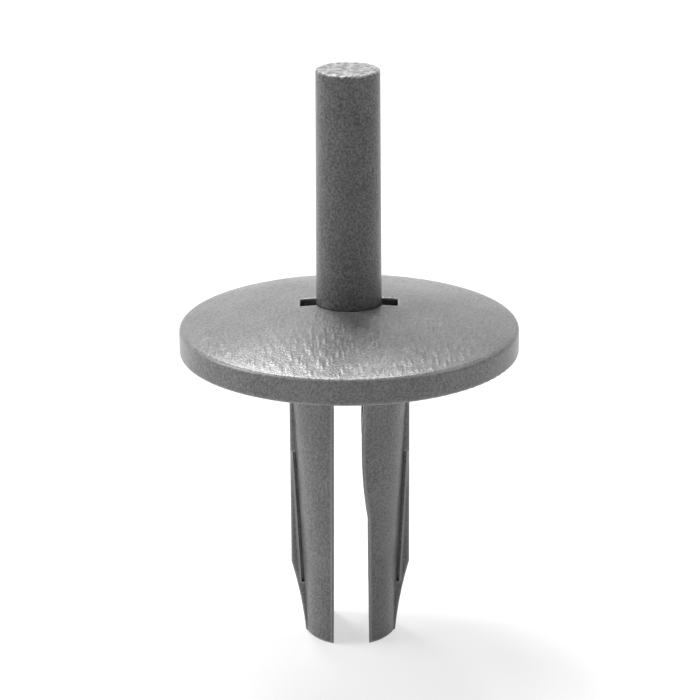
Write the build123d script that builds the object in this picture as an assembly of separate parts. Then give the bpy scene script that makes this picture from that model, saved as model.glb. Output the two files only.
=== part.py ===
from build123d import *
import math
import os

# Plastic push rivet: a domed body with a split shank, and the pin that is driven down through it.
# Millimetres, +Z up. The origin is the centre of the circle that the leg tips stand on.
# X runs across the two legs, and Y runs through the gap between them.

# Driving dimensions: head
head_diameter = 18.0
rim_height = 1.35
dome_rise = 1.35
rim_rounding = 0.25
underside_rounding = 0.12

# Driving dimensions: shank
shank_length = 16.2
neck_diameter = 6.3
neck_length = 1.8
tip_diameter = 4.86

# Driving dimensions: side ribs, which run straight down from the head and then in to the tip
rib_span = 6.4
rib_width = 1.3
rib_straight_length = 12.0
rib_end_hollow = 0.1

# Driving dimensions: broken edges of the shank
rib_edge_rounding = 0.12
leg_edge_chamfer = 0.12
tip_chamfer = 0.12

# Driving dimensions: groove along each root of a rib
groove_width = 0.16
groove_depth = 0.25
groove_top = 5.6
groove_length = 7.6

# Driving dimensions: gap between the legs, with the pad on the inner face of the right leg
gap_left_top = 0.83
gap_left_tip = 0.92
gap_right_top = 0.8
gap_right_below_pad = 0.95
gap_right_tip = 1.0
pad_swell = 0.24
pad_length = 7.0

# Driving dimensions: slot through the head, beside the pin
slot_length = 5.14
slot_width = 1.2
slot_depth_below_head = 3.6
mouth_rounding = 0.08

# Driving dimensions: pin
pin_top_diameter = 3.35
pin_bottom_diameter = 3.5
pin_stand = 12.5
pin_hold = 1.2
pin_top_rounding = 0.15
pin_bottom_chamfer = 0.3

# Clearances
pin_clearance = 0.05
pin_end_clearance = 0.3

# Levels and radii that follow
head_radius = head_diameter / 2
neck_radius = neck_diameter / 2
tip_radius = tip_diameter / 2
underside_z = shank_length
dome_top_z = underside_z + rim_height + dome_rise
neck_bottom_z = underside_z - neck_length
pin_bottom_z = underside_z - pin_hold
pin_top_z = dome_top_z + pin_stand
bore_radius = pin_bottom_diameter / 2 + pin_clearance
bore_bottom_z = pin_bottom_z - pin_stand - pin_end_clearance
beyond = rib_span

ON_FLOOR = (Align.CENTER, Align.CENTER, Align.MIN)


def drum(radius, bottom_z, top_z):
    """Upright cylinder between two levels."""
    return Pos(0, 0, bottom_z) * Cylinder(radius, top_z - bottom_z, align=ON_FLOOR)


def bar(length_x, width_y, bottom_z, top_z):
    """Upright square-cornered bar on the axis, between two levels."""
    return Pos(0, 0, bottom_z) * Box(length_x, width_y, top_z - bottom_z, align=ON_FLOOR)


def prong_cone(extra=0.0):
    """Tapered core of the shank, from the neck down to the tips, grown outwards by extra."""
    return Cone(tip_radius + extra, neck_radius + extra, neck_bottom_z, align=ON_FLOOR)


def rings(turned):
    """Full-circle edges of a turned solid, from the lowest to the highest."""
    return turned.edges().filter_by(lambda edge: edge.is_closed).sort_by(Axis.Z)


def make_head():
    """Disc with a short upright rim and a shallow spherical dome."""
    dome_radius = (head_radius**2 + dome_rise**2) / (2 * dome_rise)
    ball = Pos(0, 0, dome_top_z - dome_radius) * Sphere(dome_radius)
    head = drum(head_radius, underside_z, dome_top_z) & ball
    head = fillet(rings(head)[-1], rim_rounding)
    return fillet(rings(head)[0], underside_rounding)


def make_ribs():
    """Plate whose two edges are the side ribs: straight down, then in to the tip along a hollow curve."""
    taper_top_z = underside_z - rib_straight_length
    middle_x = (rib_span / 2 + tip_radius) / 2 - rib_end_hollow
    straight = Polyline(
        (tip_radius, 0),
        (0, 0),
        (0, underside_z),
        (rib_span / 2, underside_z),
        (rib_span / 2, taper_top_z),
    )
    run_in = ThreePointArc((rib_span / 2, taper_top_z), (middle_x, taper_top_z / 2), (tip_radius, 0))
    half = extrude(Plane.XZ * make_face(straight + run_in), amount=rib_width / 2, both=True)
    outer = half.edges().filter_by(lambda edge: edge.center().X > tip_radius and abs(edge.center().Y) > 0)
    half = fillet(outer.filter_by(Plane.XZ), rib_edge_rounding)
    return half + mirror(half, about=Plane.YZ)


def rib_grooves():
    """Cutters for the narrow grooves where the faces of each rib meet the prongs."""
    top_z = underside_z - groove_top
    ring = prong_cone(groove_width) - prong_cone()
    band = bar(2 * beyond, rib_width, top_z - groove_length, top_z)
    core = bar(2 * beyond, rib_width - 2 * groove_depth, top_z - groove_length, top_z)
    return ring & (band - core)


def leg_gap():
    """Cutter for the gap that splits the shank into a left and a right leg."""
    pad_bottom_z = neck_bottom_z - pad_length
    pad_x = (gap_right_top + gap_right_below_pad) / 2 - pad_swell
    sides = Polyline(
        (gap_right_below_pad, pad_bottom_z),
        (gap_right_tip, 0),
        (-gap_left_tip, 0),
        (-gap_left_top, neck_bottom_z),
        (gap_right_top, neck_bottom_z),
    )
    pad = ThreePointArc(
        (gap_right_top, neck_bottom_z),
        (pad_x, neck_bottom_z - pad_length / 2),
        (gap_right_below_pad, pad_bottom_z),
    )
    return extrude(Plane.XZ * make_face(sides + pad), amount=beyond, both=True)


def is_leg_corner(edge):
    """Whether an edge runs down the outside of a leg, beside the gap."""
    centre = edge.center()
    beside_gap = abs(centre.X) < (gap_right_tip + tip_radius) / 2
    return beside_gap and abs(centre.Y) > tip_radius / 2 and edge.bounding_box().size.Z > neck_length


def tip_trim():
    """Cutter for the chamfer round the outer edge of the leg tips."""
    kept = Cone(tip_radius - tip_chamfer, tip_radius, tip_chamfer, align=ON_FLOOR)
    return drum(beyond, 0, tip_chamfer) - kept


def make_shank():
    """Neck and tapered core with the side ribs, split into two legs."""
    shank = drum(neck_radius, neck_bottom_z, underside_z) + prong_cone() + make_ribs() - leg_gap()
    shank = chamfer(shank.edges().filter_by(is_leg_corner), leg_edge_chamfer)
    return shank - rib_grooves() - tip_trim()


def make_body():
    """Head and shank in one, with the openings for the pin."""
    body = make_head() + make_shank()
    body -= drum(bore_radius, bore_bottom_z, dome_top_z)
    body -= bar(slot_length, slot_width, underside_z - slot_depth_below_head, dome_top_z)
    mouth = body.edges().filter_by(is_mouth_edge)
    return fillet(mouth, mouth_rounding)


def is_mouth_edge(edge):
    """Whether an edge is where the bore or the slot opens through the dome."""
    centre = edge.center()
    return centre.Z > underside_z + rim_height and math.hypot(centre.X, centre.Y) < slot_length


def make_pin():
    """Drafted pin with a rounded upper edge and a chamfered lower edge."""
    length = pin_top_z - pin_bottom_z
    cone = Cone(pin_bottom_diameter / 2, pin_top_diameter / 2, length, align=ON_FLOOR)
    pin = Pos(0, 0, pin_bottom_z) * cone
    pin = fillet(rings(pin)[-1], pin_top_rounding)
    return chamfer(rings(pin)[0], pin_bottom_chamfer)


os.makedirs("parts", exist_ok=True)
export_step(make_body(), "parts/rivet_body.step")
export_step(make_pin(), "parts/drive_pin.step")
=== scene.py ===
"""Dressing of the plastic push rivet: moulded skins and finishes, the studio round it and the camera."""

import math

import bmesh
import bpy
import numpy as np
from mathutils import Matrix, Vector
from mathutils.bvhtree import BVHTree
from mathutils.geometry import delaunay_2d_cdt
from mathutils.kdtree import KDTree


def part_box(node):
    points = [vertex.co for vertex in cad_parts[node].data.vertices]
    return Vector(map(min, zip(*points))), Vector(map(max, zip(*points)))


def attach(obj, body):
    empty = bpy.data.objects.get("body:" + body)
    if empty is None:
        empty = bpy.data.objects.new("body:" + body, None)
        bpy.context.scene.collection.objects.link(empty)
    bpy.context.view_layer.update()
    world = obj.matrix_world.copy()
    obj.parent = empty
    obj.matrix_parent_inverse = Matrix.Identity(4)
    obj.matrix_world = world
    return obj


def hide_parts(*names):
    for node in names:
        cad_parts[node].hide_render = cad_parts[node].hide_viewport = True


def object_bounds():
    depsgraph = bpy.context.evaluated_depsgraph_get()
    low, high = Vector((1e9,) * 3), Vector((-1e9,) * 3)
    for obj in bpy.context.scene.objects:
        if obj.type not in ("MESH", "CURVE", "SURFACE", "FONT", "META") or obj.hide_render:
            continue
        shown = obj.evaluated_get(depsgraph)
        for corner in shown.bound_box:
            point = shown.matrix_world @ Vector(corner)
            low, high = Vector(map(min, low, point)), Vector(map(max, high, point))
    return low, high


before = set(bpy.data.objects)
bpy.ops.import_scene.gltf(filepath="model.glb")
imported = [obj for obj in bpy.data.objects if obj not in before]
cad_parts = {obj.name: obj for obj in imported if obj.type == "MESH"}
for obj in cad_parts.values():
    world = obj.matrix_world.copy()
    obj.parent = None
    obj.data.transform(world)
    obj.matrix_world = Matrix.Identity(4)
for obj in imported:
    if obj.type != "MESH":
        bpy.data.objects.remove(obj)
cad_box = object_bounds()

MM = 0.001
BODY = "rivet_body"
PIN = "drive_pin"

# Camera: a little above the head, square on to the gap between the legs. The picture's width and the focus
# are in pixels, the sensor in mm and the reach in m.
PICTURE_WIDTH = 700
CAMERA_FOCUS = 2687.9
CAMERA_AT = Vector((0.041, -135.22, 62.33)) * MM
CAMERA_PITCH = math.radians(18.868)
CAMERA_ROLL = math.radians(0.287)
CAMERA_SENSOR = 36.0
CAMERA_REACH = (0.01, 10.0)

# Studio lamps: name, turn to the left from straight behind and height (degrees), width and depth (m),
# power (W).
LAMPS = (
    ("left_softbox", 88, 40, 0.26, 0.3, 1.5),
    ("right_softbox", -95, 45, 0.26, 0.26, 0.46),
    ("back_left_softbox", 28, 54, 0.08, 0.12, 0.92),
    ("back_top_softbox", 14, 68, 0.1, 0.08, 0.68),
    ("back_right_softbox", -15, 60, 0.045, 0.07, 0.42),
)
LAMP_DISTANCE = 0.4

# Walls and floor: the light that the walls give, the colour and strength that they show instead where they
# are seen, the floor's own colour and half width (m), and how far it is lifted towards the walls' white.
WALL_LIGHT = 0.02
SHOWN_COLOUR = "FFFFFF"
SHOWN_LIGHT = 1.0
FLOOR_COLOUR = "F2F2F2"
FLOOR_HALF_WIDTH = 5.0
FLOOR_LIFT = 0.62

# Dome: its rise and top, how near to its sphere a point counts as on it, and how near two points count as
# one, in space and seen from above.
DOME_RISE = 1.35 * MM
DOME_TOP = 18.9 * MM
ON_DOME = 0.002 * MM
WELD = 0.0001 * MM
FLAT_WELD = WELD / 10

# Fine mesh of the dome: its spacing, the strip kept clear along its border, and the wider strip over which
# the grain fades in.
GRID_ACROSS = 0.037 * MM
GRID_ALONG = 0.12 * MM
BORDER_CLEAR = 0.05 * MM
BORDER_FADE = 0.3 * MM

# Moulded grain of the dome: long shallow drops that lie from back to front. Their reach is how far from its
# middle each one runs out, in widths and lengths.
DROP_WIDTH = 0.15 * MM
DROP_LENGTH = 1.0 * MM
DROP_DEPTH = 0.026 * MM
DROP_REACH = 0.6
DROP_SEED = 3.0

# Pin: its draft and edges, and the spacing of its mesh.
PIN_TOP_DIAMETER = 3.35 * MM
PIN_TOP_ROUNDING = 0.15 * MM
PIN_BOTTOM_CHAMFER = 0.3 * MM
ROUNDING_STEPS = 6
PIN_RING_SPACING = 0.06 * MM
PIN_SIDES = 160
PIN_SEED = 11.0

# Drag marks down the pin's side, and the lean of the skin (upright 0, level 1) where they end and are full.
DRAG_WIDTH = 0.2 * MM
DRAG_LENGTH = 2.5 * MM
DRAG_DEPTH = 0.012 * MM
DRAG_END = 0.6
DRAG_FULL = 0.1

# Tears in the pin's top: their size and depth, the height of the noise that stays level, and the lean where
# they end and are full.
TEAR_SIZE = 0.13 * MM
TEAR_DEPTH = 0.11 * MM
TEAR_LEVEL = 0.7
TEAR_END = 0.2
TEAR_FULL = 0.9

# Noise textures: their middle height, and how wide their blotches are at a scale of 1, in metres.
NOISE_MIDDLE = 0.5
NOISE_BLOTCH = 0.5

# Moulded nylon: sRGB colours, gloss, the real sizes of its faint clouds and its speckle, how much the
# clouds count, and the heights of both together that give the dark and the light colour. Real spark grain
# is about 0.03 mm, too fine to show, so it is drawn twice as coarse.
BODY_COLOUR = "4C4C4C"
BODY_COLOUR_LIGHT = "727272"
PIN_COLOUR = "303030"
PIN_COLOUR_LIGHT = "666666"
NYLON_IOR = 1.53
NYLON_ROUGHNESS = 0.32
CLOUD_SIZE = 1.3 * MM
CLOUD_SHARE = 0.4
SPARK_GRAIN = 0.06 * MM
SPARK_DEPTH = 0.015 * MM
SPECKLE_DARK = 0.5
SPECKLE_LIGHT = 0.9

# Torn nylon: its two tones, the heights of the noise that they stand for, and how far below the pin's top
# its border lies.
TORN_COLOUR = "565656"
TORN_COLOUR_LIGHT = "9A9A9A"
TORN_DARK = 0.38
TORN_LIGHT = 0.62
TORN_BORDER = PIN_TOP_ROUNDING / 4

# Painted edge highlight: along sharp edges the nylon is painted paler, standing in for the light line that
# a rounded edge catches. How far in from an edge it is paler, and how open the inside is where that begins
# and is full (flat skin 1, square edge 0.5). The real line is about 0.05 mm wide, too fine to show, so it
# is drawn wider.
EDGE_HIGHLIGHT_COLOUR = "9C9C9C"
EDGE_HIGHLIGHT_REACH = 0.16 * MM
EDGE_HIGHLIGHT_BEGIN = 0.97
EDGE_HIGHLIGHT_FULL = 0.6
EDGE_HIGHLIGHT_RAYS = 8

# Layers of the body's mesh: each corner's CAD normal, and how much of the grain each point takes.
CAD_NORMAL = "cad_normal"
GRAIN_SHARE = "grain_share"


def linear(code):
    """Linear RGBA of an sRGB hex colour."""
    shares = [int(code[i : i + 2], 16) / 255 for i in (0, 2, 4)]
    return (*(s / 12.92 if s <= 0.04045 else ((s + 0.055) / 1.055) ** 2.4 for s in shares), 1.0)


def add_node(tree, kind, sockets=None, **settings):
    """Add a node with its settings, link or set its sockets (by name or number), and give its outputs.

    A Mix node's two colours are its sockets 6 and 7, and its colour comes out of 2.
    """
    node = tree.nodes.new(kind)
    for name, value in settings.items():
        setattr(node, name, value)
    for socket, value in (sockets or {}).items():
        if isinstance(value, bpy.types.NodeSocket):
            tree.links.new(value, node.inputs[socket])
        else:
            node.inputs[socket].default_value = value
    return node.outputs


def new_tree(owner):
    """Switch a material or world to nodes and empty its tree."""
    owner.use_nodes = True
    owner.node_tree.nodes.clear()
    return owner.node_tree


def put_in_scene(name, data):
    """New object that shows the data, in the scene."""
    thing = bpy.data.objects.new(name, data)
    bpy.context.scene.collection.objects.link(thing)
    return thing


# ---- Camera and studio ----


def make_camera():
    """The scene's camera, at its place and tilt."""
    data = bpy.data.cameras.new("camera")
    data.sensor_width = CAMERA_SENSOR
    data.lens = CAMERA_FOCUS / PICTURE_WIDTH * CAMERA_SENSOR
    data.clip_start, data.clip_end = CAMERA_REACH
    camera = put_in_scene("camera", data)
    tilt = Matrix.Rotation(math.pi / 2 - CAMERA_PITCH, 4, "X")
    roll = Matrix.Rotation(-CAMERA_ROLL, 4, "Z")
    camera.matrix_world = Matrix.Translation(CAMERA_AT) @ tilt @ roll
    bpy.context.scene.camera = camera


def seen_ray(tree):
    """1 on rays that show the surroundings: straight to the camera, mirrored or let through."""
    path = add_node(tree, "ShaderNodeLightPath")
    direct = {0: path["Is Camera Ray"], 1: path["Is Glossy Ray"]}
    shown = add_node(tree, "ShaderNodeMath", direct, operation="MAXIMUM")[0]
    either = {0: shown, 1: path["Is Transmission Ray"]}
    return add_node(tree, "ShaderNodeMath", either, operation="MAXIMUM")[0]


def make_studio_walls():
    """White where the walls are seen, and almost no light of their own."""
    world = bpy.data.worlds.new("studio_walls")
    bpy.context.scene.world = world
    tree = new_tree(world)
    white = linear(SHOWN_COLOUR)
    light = add_node(tree, "ShaderNodeBackground", {"Color": white, "Strength": WALL_LIGHT})[0]
    shown = add_node(tree, "ShaderNodeBackground", {"Color": white, "Strength": SHOWN_LIGHT})[0]
    walls = add_node(tree, "ShaderNodeMixShader", {0: seen_ray(tree), 1: light, 2: shown})[0]
    add_node(tree, "ShaderNodeOutputWorld", {"Surface": walls})


def make_lamp(name, turn, height, width, depth, power):
    """Rectangular softbox, aimed at the middle of the object."""
    low, high = cad_box
    turn, height = math.radians(turn), math.radians(height)
    flat = math.cos(height)
    way = Vector((-math.sin(turn) * flat, math.cos(turn) * flat, math.sin(height)))
    data = bpy.data.lights.new(name, "AREA")
    data.shape = "RECTANGLE"
    data.size, data.size_y = width, depth
    data.energy = power
    aim = way.to_track_quat("Z", "Y").to_matrix().to_4x4()
    place = Matrix.Translation((low + high) / 2 + way * LAMP_DISTANCE)
    put_in_scene(name, data).matrix_world = place @ aim


def make_floor():
    """Matt white card, lit as a surface and lifted towards white where it is seen."""
    # Card gives an even pale ground with no shine, and keeps the soft shadow between and behind the legs.
    half = FLOOR_HALF_WIDTH
    corners = [(-half, -half, 0), (half, -half, 0), (half, half, 0), (-half, half, 0)]
    mesh = bpy.data.meshes.new("floor")
    mesh.from_pydata(corners, [], [(0, 1, 2, 3)])
    card = bpy.data.materials.new("white_card")
    tree = new_tree(card)
    matt = add_node(tree, "ShaderNodeBsdfDiffuse", {"Color": linear(FLOOR_COLOUR)})[0]
    glow = {"Color": linear(SHOWN_COLOUR), "Strength": SHOWN_LIGHT}
    glow = add_node(tree, "ShaderNodeEmission", glow)[0]
    lift = {0: seen_ray(tree), 1: FLOOR_LIFT}
    lift = add_node(tree, "ShaderNodeMath", lift, operation="MULTIPLY")[0]
    shown = add_node(tree, "ShaderNodeMixShader", {0: lift, 1: matt, 2: glow})[0]
    add_node(tree, "ShaderNodeOutputMaterial", {"Surface": shown})
    mesh.materials.append(card)
    put_in_scene("floor", mesh)


# ---- Finishes ----


def start_nylon(name, dark, light):
    """New moulded nylon: the material, its tree, its speckled colour and its fine relief."""
    # Nylon coloured in the mass and moulded in a spark-eroded tool gives a dark satin skin with soft broad
    # highlights, a fine even speckle and faint paler clouds.
    material = bpy.data.materials.new(name)
    tree = new_tree(material)
    place = add_node(tree, "ShaderNodeTexCoord")["Object"]
    clouds = {"Vector": place, "Scale": NOISE_BLOTCH / CLOUD_SIZE, "Detail": 3.0}
    cloud = add_node(tree, "ShaderNodeTexNoise", clouds)["Fac"]
    grains = {"Vector": place, "Scale": NOISE_BLOTCH / SPARK_GRAIN, "Detail": 1.0}
    grain = add_node(tree, "ShaderNodeTexNoise", grains)["Fac"]
    speckle = {0: cloud, 1: CLOUD_SHARE, 2: grain}
    speckle = add_node(tree, "ShaderNodeMath", speckle, operation="MULTIPLY_ADD")[0]
    speckle = {"Value": speckle, "From Min": SPECKLE_DARK, "From Max": SPECKLE_LIGHT}
    speckle = add_node(tree, "ShaderNodeMapRange", speckle)["Result"]
    tones = {"Factor": speckle, 6: linear(dark), 7: linear(light)}
    colour = add_node(tree, "ShaderNodeMix", tones, data_type="RGBA")[2]
    relief = {"Height": grain, "Strength": 1.0, "Distance": SPARK_DEPTH}
    relief = add_node(tree, "ShaderNodeBump", relief)[0]
    return material, tree, colour, relief


def end_nylon(tree, colour, relief):
    """Give a nylon tree its satin surface."""
    surface = {"Base Color": colour, "Roughness": NYLON_ROUGHNESS, "IOR": NYLON_IOR, "Normal": relief}
    nylon = add_node(tree, "ShaderNodeBsdfPrincipled", surface)[0]
    add_node(tree, "ShaderNodeOutputMaterial", {"Surface": nylon})


def body_nylon():
    """Moulded nylon of the head and legs, with a painted highlight along its edges."""
    # It looks dark grey where it stands upright, and pale grey where the dome turns to the lamps. Its sharp
    # edges get a thin light line painted into the colour: a painted highlight, such as a rounded edge
    # catches.
    material, tree, colour, relief = start_nylon("body_moulded_nylon", BODY_COLOUR, BODY_COLOUR_LIGHT)
    # Painted highlight: the colour turns paler along sharp edges, found by how open the inside is there.
    ways = {"inside": True, "only_local": True, "samples": EDGE_HIGHLIGHT_RAYS}
    open_inside = add_node(tree, "ShaderNodeAmbientOcclusion", {"Distance": EDGE_HIGHLIGHT_REACH}, **ways)["AO"]
    edge_highlight = {"Value": open_inside, "From Min": EDGE_HIGHLIGHT_BEGIN, "From Max": EDGE_HIGHLIGHT_FULL}
    edge_highlight = add_node(tree, "ShaderNodeMapRange", edge_highlight)["Result"]
    tones = {"Factor": edge_highlight, 6: colour, 7: linear(EDGE_HIGHLIGHT_COLOUR)}
    colour = add_node(tree, "ShaderNodeMix", tones, data_type="RGBA")[2]
    end_nylon(tree, colour, relief)
    return material


def pin_nylon():
    """Darker moulded nylon, torn from its sprue at the top."""
    # Torn nylon turns white under stress: the top is pale, rough and blotched, with a ragged border.
    material, tree, colour, relief = start_nylon("pin_moulded_nylon", PIN_COLOUR, PIN_COLOUR_LIGHT)
    place = add_node(tree, "ShaderNodeTexCoord")["Object"]
    chips = {"Vector": place, "Scale": NOISE_BLOTCH / TEAR_SIZE, "Detail": 2.0, "Roughness": 0.6}
    chip = add_node(tree, "ShaderNodeTexNoise", chips)["Fac"]
    chip = {"Value": chip, "From Min": TORN_DARK, "From Max": TORN_LIGHT}
    chip = add_node(tree, "ShaderNodeMapRange", chip)["Result"]
    tones = {"Factor": chip, 6: linear(TORN_COLOUR), 7: linear(TORN_COLOUR_LIGHT)}
    torn = add_node(tree, "ShaderNodeMix", tones, data_type="RGBA")[2]
    height = add_node(tree, "ShaderNodeSeparateXYZ", {0: place})["Z"]
    ragged = {0: chip, 1: PIN_TOP_ROUNDING, 2: height}
    ragged = add_node(tree, "ShaderNodeMath", ragged, operation="MULTIPLY_ADD")[0]
    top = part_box(PIN)[1].z
    on_top = {"Value": ragged, "From Min": top - TORN_BORDER, "From Max": top}
    on_top = add_node(tree, "ShaderNodeMapRange", on_top)["Result"]
    tones = {"Factor": on_top, 6: colour, 7: torn}
    colour = add_node(tree, "ShaderNodeMix", tones, data_type="RGBA")[2]
    end_nylon(tree, colour, relief)
    return material


# ---- Geometry Nodes ----


def new_geometry_tree(name, inputs):
    """Geometry Nodes tree with named inputs, and their sockets inside it."""
    tree = bpy.data.node_groups.new(name, "GeometryNodeTree")
    for label, kind in inputs.items():
        tree.interface.new_socket(label, in_out="INPUT", socket_type="NodeSocket" + kind)
    tree.interface.new_socket("Geometry", in_out="OUTPUT", socket_type="NodeSocketGeometry")
    return tree, add_node(tree, "NodeGroupInput")


def end_geometry_tree(tree, geometry, material):
    """Make the geometry real, give it its material and put it out."""
    real = add_node(tree, "GeometryNodeRealizeInstances", {"Geometry": geometry})[0]
    done = add_node(tree, "GeometryNodeSetMaterial", {"Geometry": real, "Material": material})[0]
    add_node(tree, "NodeGroupOutput", {"Geometry": done})


def made_by_tree(name, tree, mesh, values):
    """Plain mesh object that a tree makes from a mesh and the named values."""
    mesh.materials.append(values["Material"])
    piece = put_in_scene(name, mesh)
    modifier = piece.modifiers.new(tree.name, "NODES")
    modifier.node_group = tree
    for item in tree.interface.items_tree:
        if item.in_out == "INPUT" and item.name in values:
            modifier[item.identifier] = values[item.name]
    evaluated = piece.evaluated_get(bpy.context.evaluated_depsgraph_get())
    made = bpy.data.meshes.new_from_object(evaluated)
    made.materials.clear()
    made.materials.append(values["Material"])
    piece.modifiers.remove(modifier)
    piece.data = made
    return piece


def raised(tree, geometry, height):
    """Geometry moved along its normals by a height."""
    normal = add_node(tree, "GeometryNodeInputNormal")[0]
    offset = {0: normal, "Scale": height}
    offset = add_node(tree, "ShaderNodeVectorMath", offset, operation="SCALE")[0]
    return add_node(tree, "GeometryNodeSetPosition", {"Geometry": geometry, "Offset": offset})[0]


def dome_grain_tree():
    """Raises the dome's skin in long drops that lie from back to front."""
    inputs = {
        "Geometry": "Geometry",
        "Drop width": "Float",
        "Drop length": "Float",
        "Drop depth": "Float",
        "Seed": "Float",
        "Material": "Material",
    }
    tree, given = new_geometry_tree("dome_grain", inputs)
    place = add_node(tree, "GeometryNodeInputPosition")[0]
    flat = add_node(tree, "ShaderNodeVectorMath", {0: place, 1: (1, 1, 0)}, operation="MULTIPLY")[0]
    drop = {"X": given["Drop width"], "Y": given["Drop length"], "Z": 1.0}
    drop = add_node(tree, "ShaderNodeCombineXYZ", drop)[0]
    spot = add_node(tree, "ShaderNodeVectorMath", {0: flat, 1: drop}, operation="DIVIDE")[0]
    seed = add_node(tree, "ShaderNodeCombineXYZ", {"Z": given["Seed"]})[0]
    spot = add_node(tree, "ShaderNodeVectorMath", {0: spot, 1: seed}, operation="ADD")[0]
    away = {"Vector": spot, "Scale": 1.0}
    away = add_node(tree, "ShaderNodeTexVoronoi", away, feature="F1")["Distance"]
    rise = {"Value": away, "From Min": DROP_REACH, "From Max": 0.0}
    rise = add_node(tree, "ShaderNodeMapRange", rise, interpolation_type="SMOOTHSTEP")["Result"]
    rise = {0: rise, 1: given["Drop depth"]}
    rise = add_node(tree, "ShaderNodeMath", rise, operation="MULTIPLY")[0]
    share = {"Name": GRAIN_SHARE}
    share = add_node(tree, "GeometryNodeInputNamedAttribute", share, data_type="FLOAT")[0]
    rise = add_node(tree, "ShaderNodeMath", {0: rise, 1: share}, operation="MULTIPLY")[0]
    end_geometry_tree(tree, raised(tree, given["Geometry"], rise), given["Material"])
    return tree


def turned_pin_tree():
    """Turns a drafted pin with chamfered foot and rounded top edge, marks its side and tears its top."""
    inputs = {
        "Geometry": "Geometry",
        "Bottom": "Float",
        "Top": "Float",
        "Bottom radius": "Float",
        "Top radius": "Float",
        "Bottom chamfer": "Float",
        "Top rounding": "Float",
        "Ring spacing": "Float",
        "Sides": "Int",
        "Drag width": "Float",
        "Drag length": "Float",
        "Drag depth": "Float",
        "Tear size": "Float",
        "Tear depth": "Float",
        "Seed": "Float",
        "Material": "Material",
    }
    tree, given = new_geometry_tree("turned_pin", inputs)
    shape = turned(tree, pin_profile(tree, given), given["Sides"])
    lean = add_node(tree, "GeometryNodeInputNormal")[0]
    lean = add_node(tree, "ShaderNodeSeparateXYZ", {0: lean})["Z"]
    relief = {0: drag_marks(tree, given, lean), 1: tears(tree, given, lean)}
    relief = add_node(tree, "ShaderNodeMath", relief, operation="ADD")[0]
    end_geometry_tree(tree, raised(tree, shape, relief), given["Material"])
    return tree


def pin_profile(tree, given):
    """Half outline of the pin, from the middle of its foot to the middle of its top."""
    foot = add_node(tree, "ShaderNodeCombineXYZ", {"Z": given["Bottom"]})[0]
    foot_edge = {"X": given["Bottom radius"], "Z": given["Bottom"]}
    foot_edge = add_node(tree, "ShaderNodeCombineXYZ", foot_edge)[0]
    top_edge = {"X": given["Top radius"], "Z": given["Top"]}
    top_edge = add_node(tree, "ShaderNodeCombineXYZ", top_edge)[0]
    top = add_node(tree, "ShaderNodeCombineXYZ", {"Z": given["Top"]})[0]
    corners = {"Point 1": foot, "Point 2": foot_edge, "Point 3": top_edge, "Point 4": top}
    line = add_node(tree, "GeometryNodeCurvePrimitiveQuadrilateral", corners, mode="POINTS")[0]
    line = add_node(tree, "GeometryNodeSetSplineCyclic", {"Geometry": line, "Cyclic": False})[0]
    # Corners count from 0, so the top edge is corner 2.
    corner = add_node(tree, "GeometryNodeInputIndex")[0]
    at_top = {2: corner, 3: 2}
    at_top = add_node(tree, "FunctionNodeCompare", at_top, data_type="INT", operation="EQUAL")[0]
    reach = {0: at_top, 1: given["Bottom chamfer"], 2: given["Top rounding"]}
    reach = add_node(tree, "GeometryNodeSwitch", reach, input_type="FLOAT")[0]
    steps = {0: at_top, 1: 1, 2: ROUNDING_STEPS}
    steps = add_node(tree, "GeometryNodeSwitch", steps, input_type="INT")[0]
    edges = {"Curve": line, "Count": steps, "Radius": reach}
    line = add_node(tree, "GeometryNodeFilletCurve", edges, mode="POLY")[0]
    place = add_node(tree, "GeometryNodeInputPosition")[0]
    index = add_node(tree, "GeometryNodeInputIndex")[0]
    after = add_node(tree, "ShaderNodeMath", {0: index, 1: 1.0}, operation="ADD")[0]
    after = {"Index": after, "Value": place}
    after = add_node(tree, "GeometryNodeFieldAtIndex", after, data_type="FLOAT_VECTOR")[0]
    run = {0: place, 1: after}
    run = add_node(tree, "ShaderNodeVectorMath", run, operation="DISTANCE")["Value"]
    cuts = {0: run, 1: given["Ring spacing"]}
    cuts = add_node(tree, "ShaderNodeMath", cuts, operation="DIVIDE")[0]
    cuts = add_node(tree, "ShaderNodeMath", {0: cuts}, operation="FLOOR")[0]
    return add_node(tree, "GeometryNodeSubdivideCurve", {"Curve": line, "Cuts": cuts})[0]


def turned(tree, profile, sides):
    """Profile turned round the upright axis, with its seam and poles closed."""
    rows = {"Geometry": profile}
    rows = add_node(tree, "GeometryNodeAttributeDomainSize", rows, component="CURVE")[0]
    columns = add_node(tree, "ShaderNodeMath", {0: sides, 1: 1.0}, operation="ADD")[0]
    net = {"Size X": 1.0, "Size Y": 1.0, "Vertices X": columns, "Vertices Y": rows}
    net = add_node(tree, "GeometryNodeMeshGrid", net)[0]
    index = add_node(tree, "GeometryNodeInputIndex")[0]
    counted = {0: index, 1: rows}
    row = add_node(tree, "FunctionNodeIntegerMath", counted, operation="MODULO")[0]
    column = add_node(tree, "FunctionNodeIntegerMath", counted, operation="DIVIDE_FLOOR")[0]
    place = add_node(tree, "GeometryNodeInputPosition")[0]
    point = {"Geometry": profile, "Value": place, "Index": row}
    point = add_node(tree, "GeometryNodeSampleIndex", point, data_type="FLOAT_VECTOR")[0]
    turn = add_node(tree, "ShaderNodeMath", {0: column, 1: sides}, operation="DIVIDE")[0]
    turn = add_node(tree, "ShaderNodeMath", {0: turn, 1: math.tau}, operation="MULTIPLY")[0]
    point = {"Vector": point, "Angle": turn}
    point = add_node(tree, "ShaderNodeVectorRotate", point, rotation_type="Z_AXIS")[0]
    shape = add_node(tree, "GeometryNodeSetPosition", {"Geometry": net, "Position": point})[0]
    return add_node(tree, "GeometryNodeMergeByDistance", {"Geometry": shape, "Distance": WELD})[0]


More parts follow.
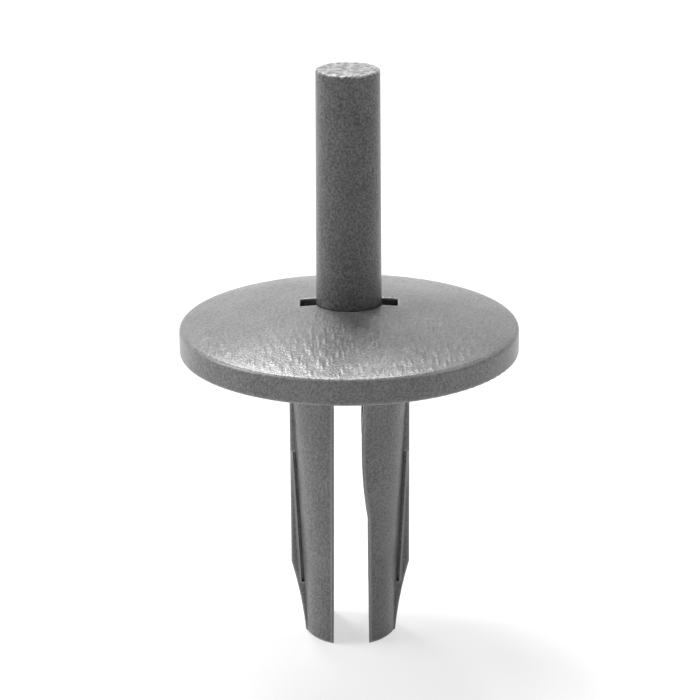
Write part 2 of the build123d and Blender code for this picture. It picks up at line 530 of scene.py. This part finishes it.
def drag_marks(tree, given, lean):
    """Height of the long marks that run down the pin's side."""
    place = add_node(tree, "GeometryNodeInputPosition")[0]
    squeeze = {0: given["Drag width"], 1: given["Drag length"]}
    squeeze = add_node(tree, "ShaderNodeMath", squeeze, operation="DIVIDE")[0]
    squeeze = add_node(tree, "ShaderNodeCombineXYZ", {"X": 1.0, "Y": 1.0, "Z": squeeze})[0]
    spot = {0: place, 1: squeeze}
    spot = add_node(tree, "ShaderNodeVectorMath", spot, operation="MULTIPLY")[0]
    scale = {0: NOISE_BLOTCH, 1: given["Drag width"]}
    scale = add_node(tree, "ShaderNodeMath", scale, operation="DIVIDE")[0]
    mark = {"Vector": spot, "W": given["Seed"], "Scale": scale, "Detail": 1.0}
    mark = add_node(tree, "ShaderNodeTexNoise", mark, noise_dimensions="4D")["Fac"]
    mark = add_node(tree, "ShaderNodeMath", {0: mark, 1: NOISE_MIDDLE}, operation="SUBTRACT")[0]
    mark = {0: mark, 1: given["Drag depth"]}
    mark = add_node(tree, "ShaderNodeMath", mark, operation="MULTIPLY")[0]
    upright = add_node(tree, "ShaderNodeMath", {0: lean}, operation="ABSOLUTE")[0]
    upright = {"Value": upright, "From Min": DRAG_END, "From Max": DRAG_FULL}
    upright = add_node(tree, "ShaderNodeMapRange", upright)["Result"]
    return add_node(tree, "ShaderNodeMath", {0: mark, 1: upright}, operation="MULTIPLY")[0]


def tears(tree, given, lean):
    """Height of the torn top of the pin, most of it below the pin's own level."""
    place = add_node(tree, "GeometryNodeInputPosition")[0]
    scale = {0: NOISE_BLOTCH, 1: given["Tear size"]}
    scale = add_node(tree, "ShaderNodeMath", scale, operation="DIVIDE")[0]
    tear = {"Vector": place, "W": given["Seed"], "Scale": scale, "Detail": 1.0}
    tear = add_node(tree, "ShaderNodeTexNoise", tear, noise_dimensions="4D")["Fac"]
    tear = add_node(tree, "ShaderNodeMath", {0: tear, 1: TEAR_LEVEL}, operation="SUBTRACT")[0]
    tear = {0: tear, 1: given["Tear depth"]}
    tear = add_node(tree, "ShaderNodeMath", tear, operation="MULTIPLY")[0]
    level = {"Value": lean, "From Min": TEAR_END, "From Max": TEAR_FULL}
    level = add_node(tree, "ShaderNodeMapRange", level)["Result"]
    return add_node(tree, "ShaderNodeMath", {0: tear, 1: level}, operation="MULTIPLY")[0]


# ---- Body ----


def merged_form(node):
    """Welded copy of a CAD node's mesh; each corner keeps its CAD normal in a layer."""
    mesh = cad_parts[node].data.copy()
    normals = np.empty(len(mesh.loops) * 3, np.float32)
    mesh.corner_normals.foreach_get("vector", normals)
    layer = mesh.attributes.new(CAD_NORMAL, "FLOAT_VECTOR", "CORNER")
    layer.data.foreach_set("vector", normals)
    form = bmesh.new()
    form.from_mesh(mesh)
    bpy.data.meshes.remove(mesh)
    bmesh.ops.remove_doubles(form, verts=form.verts, dist=WELD)
    return form


def refill_dome(form):
    """Refill the dome's skin with a fine mesh on the same sphere, welded to what surrounds it."""
    grain_share = form.verts.layers.float.new(GRAIN_SHARE)
    form.verts.index_update()
    low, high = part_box(BODY)
    edge = (high.x - low.x) / 2
    ball = (edge**2 + DOME_RISE**2) / (2 * DOME_RISE)
    centre = Vector((0, 0, DOME_TOP - ball))
    old = faces_on_ball(form, centre, ball)
    cover = [[v.index for v in f.verts] for f in old]
    cover = BVHTree.FromPolygons([v.co for v in form.verts], cover)
    border = border_of(old)
    near = marks_along(border)
    loop = sorted({v for e in border for v in e.verts}, key=lambda v: v.index)
    bmesh.ops.delete(form, geom=old, context="FACES")

    corners = list(loop)
    for spot, share in dome_spots(edge, centre, ball, cover, near):
        vert = form.verts.new(spot)
        vert[grain_share] = share
        corners.append(vert)
    number = {v: i for i, v in enumerate(loop)}
    fixed = [[number[v] for v in e.verts] for e in border]
    net = delaunay_2d_cdt([v.co.xy for v in corners], fixed, [], 0, FLAT_WELD)
    faces, came_from = net[2], net[3]
    # A face with corners on the border only lies over the bore or slot, or past the rim, and stays out.
    for face in faces:
        ends = [came_from[i][0] for i in face]
        if any(i >= len(loop) for i in ends):
            form.faces.new([corners[i] for i in ends])


def faces_on_ball(form, centre, ball):
    """Faces of the form that lie on the dome's sphere."""
    foot = DOME_TOP - DOME_RISE
    on_ball = set()
    for vert in form.verts:
        if vert.co.z > foot and abs((vert.co - centre).length - ball) < ON_DOME:
            on_ball.add(vert)
    return [f for f in form.faces if all(v in on_ball for v in f.verts)]


def border_of(faces):
    """Edges between the faces and the rest of their form."""
    inside = set(faces)
    return [e for f in faces for e in f.edges if any(g not in inside for g in e.link_faces)]


def marks_along(edges):
    """Search tree of close marks along the edges."""
    marks = []
    for edge in edges:
        parts = math.ceil(edge.calc_length() / BORDER_CLEAR)
        marks += [edge.verts[0].co.lerp(edge.verts[1].co, i / parts) for i in range(parts)]
    near = KDTree(len(marks))
    for i, mark in enumerate(marks):
        near.insert(mark, i)
    near.balance()
    return near


def dome_spots(edge, centre, ball, cover, near):
    """Points of a staggered grid on the old dome, each with how much of the grain it takes."""
    columns, rows = math.ceil(edge / GRID_ACROSS), math.ceil(edge / GRID_ALONG)
    above, down = Vector((0, 0, MM)), Vector((0, 0, -1))
    for column in range(-columns, columns + 1):
        for row in range(-rows, rows + 1):
            x, y = column * GRID_ACROSS, (row + column % 2 / 2) * GRID_ALONG
            if math.hypot(x, y) < edge:
                spot = Vector((x, y, centre.z + math.sqrt(ball**2 - x * x - y * y)))
                gap = near.find(spot)[2]
                if gap > BORDER_CLEAR and cover.ray_cast(spot + above, down)[0]:
                    yield spot, min(1, gap / BORDER_FADE)


def take_cad_normals(mesh):
    """Give each corner the CAD normal in its layer; a new corner has none and keeps its smooth one."""
    layer = mesh.attributes[CAD_NORMAL]
    normals = np.empty(len(mesh.loops) * 3, np.float32)
    layer.data.foreach_get("vector", normals)
    mesh.attributes.remove(layer)
    mesh.attributes.remove(mesh.attributes[GRAIN_SHARE])
    mesh.normals_split_custom_set(normals.reshape(-1, 3))


def dress_body(material):
    """The CAD body with a fine, grained dome, in its nylon."""
    form = merged_form(BODY)
    refill_dome(form)
    for face in form.faces:
        face.smooth = True
    mesh = bpy.data.meshes.new(BODY + "_form")
    form.to_mesh(mesh)
    form.free()
    values = {
        "Drop width": DROP_WIDTH,
        "Drop length": DROP_LENGTH,
        "Drop depth": DROP_DEPTH,
        "Seed": DROP_SEED,
        "Material": material,
    }
    piece = made_by_tree("moulded_rivet", dome_grain_tree(), mesh, values)
    take_cad_normals(piece.data)
    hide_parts(BODY)
    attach(piece, BODY)


# ---- Pin ----


def dress_pin(material):
    """The pin, turned from the CAD pin's own sizes, in its nylon."""
    low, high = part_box(PIN)
    values = {
        "Bottom": low.z,
        "Top": high.z,
        "Bottom radius": (high.x - low.x) / 2,
        "Top radius": PIN_TOP_DIAMETER / 2,
        "Bottom chamfer": PIN_BOTTOM_CHAMFER,
        "Top rounding": PIN_TOP_ROUNDING,
        "Ring spacing": PIN_RING_SPACING,
        "Sides": PIN_SIDES,
        "Drag width": DRAG_WIDTH,
        "Drag length": DRAG_LENGTH,
        "Drag depth": DRAG_DEPTH,
        "Tear size": TEAR_SIZE,
        "Tear depth": TEAR_DEPTH,
        "Seed": PIN_SEED,
        "Material": material,
    }
    start = bpy.data.meshes.new(PIN + "_start")
    piece = made_by_tree("push_pin", turned_pin_tree(), start, values)
    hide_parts(PIN)
    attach(piece, PIN)


make_camera()
dress_body(body_nylon())
dress_pin(pin_nylon())
make_studio_walls()
for lamp in LAMPS:
    make_lamp(*lamp)
make_floor()
bpy.context.scene.view_settings.view_transform = "Standard"
